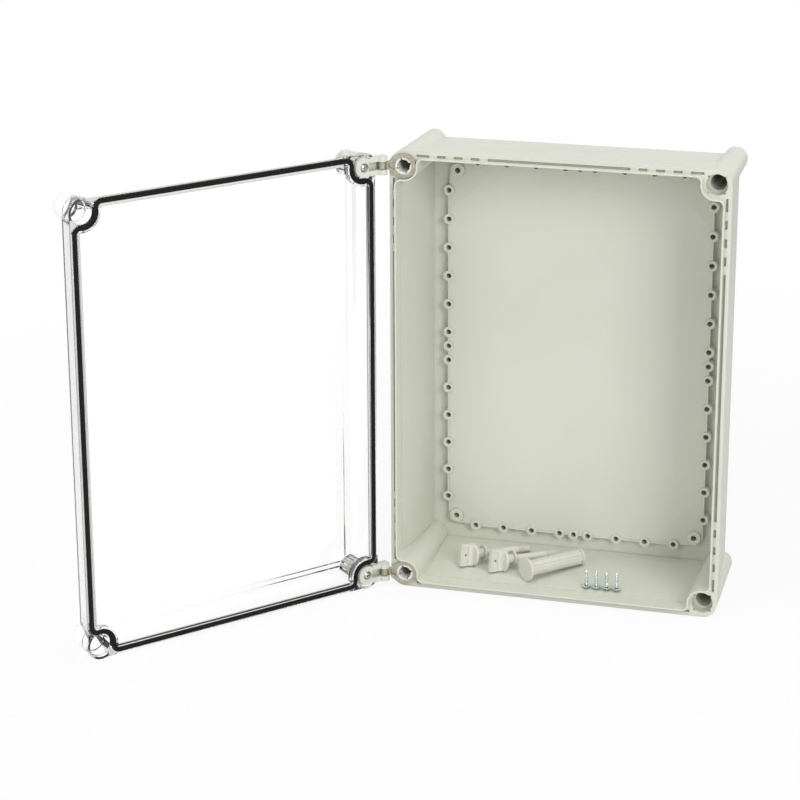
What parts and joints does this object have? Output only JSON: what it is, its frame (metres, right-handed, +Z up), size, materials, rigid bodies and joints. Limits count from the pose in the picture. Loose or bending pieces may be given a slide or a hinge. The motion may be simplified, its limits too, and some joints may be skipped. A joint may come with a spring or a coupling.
{
  "type": "hinged enclosure",
  "caption": "Wall-mounted polycarbonate enclosure: ribbed base with corner posts and threaded bosses, clear hinged lid with black gasket, loose closing screws and plug.",
  "frame": {"origin": "centre of the back face, which is the centre of the four wall-fixing holes", "axes": "+X to the right of someone facing the box, +Y into the wall, +Z up"},
  "size_m": [0.4879, 0.3213, 0.38],
  "materials": {
    "housing": "satin",
    "clear_lid": "gloss",
    "gasket": "matte",
    "hinge_metal": "satin",
    "white_sleeve": "satin",
    "fixings": "satin",
    "zinc": "satin"
  },
  "bodies": {
    "base": {"base": "housing", "hinge_ring_upper": "hinge_metal", "hinge_ring_lower": "hinge_metal", "hinge_sleeve_upper": "white_sleeve", "hinge_sleeve_lower": "white_sleeve", "closing_screw_left": "fixings", "closing_screw_right": "fixings", "hole_plug": "fixings", "mounting_screw_1": "zinc", "mounting_screw_2": "zinc", "mounting_screw_3": "zinc", "mounting_screw_4": "zinc"},
    "lid": {"lid": "clear_lid", "lid_gasket": "gasket", "hinge_pin_upper": "zinc", "hinge_pin_lower": "zinc", "hinge_block_upper": "housing", "hinge_block_lower": "housing", "hinge_screw_upper": "zinc", "hinge_screw_lower": "zinc", "hinge_cap_upper": "housing", "hinge_cap_lower": "housing"}
  },
  "joints": [
    {"name": "lid_swing", "type": "hinge", "parent": "base", "child": "lid", "pos_m": [-0.145, -0.09964, 0], "axis": [0, 0, 1], "range_deg": [-50.4, 129.6]}
  ]
}
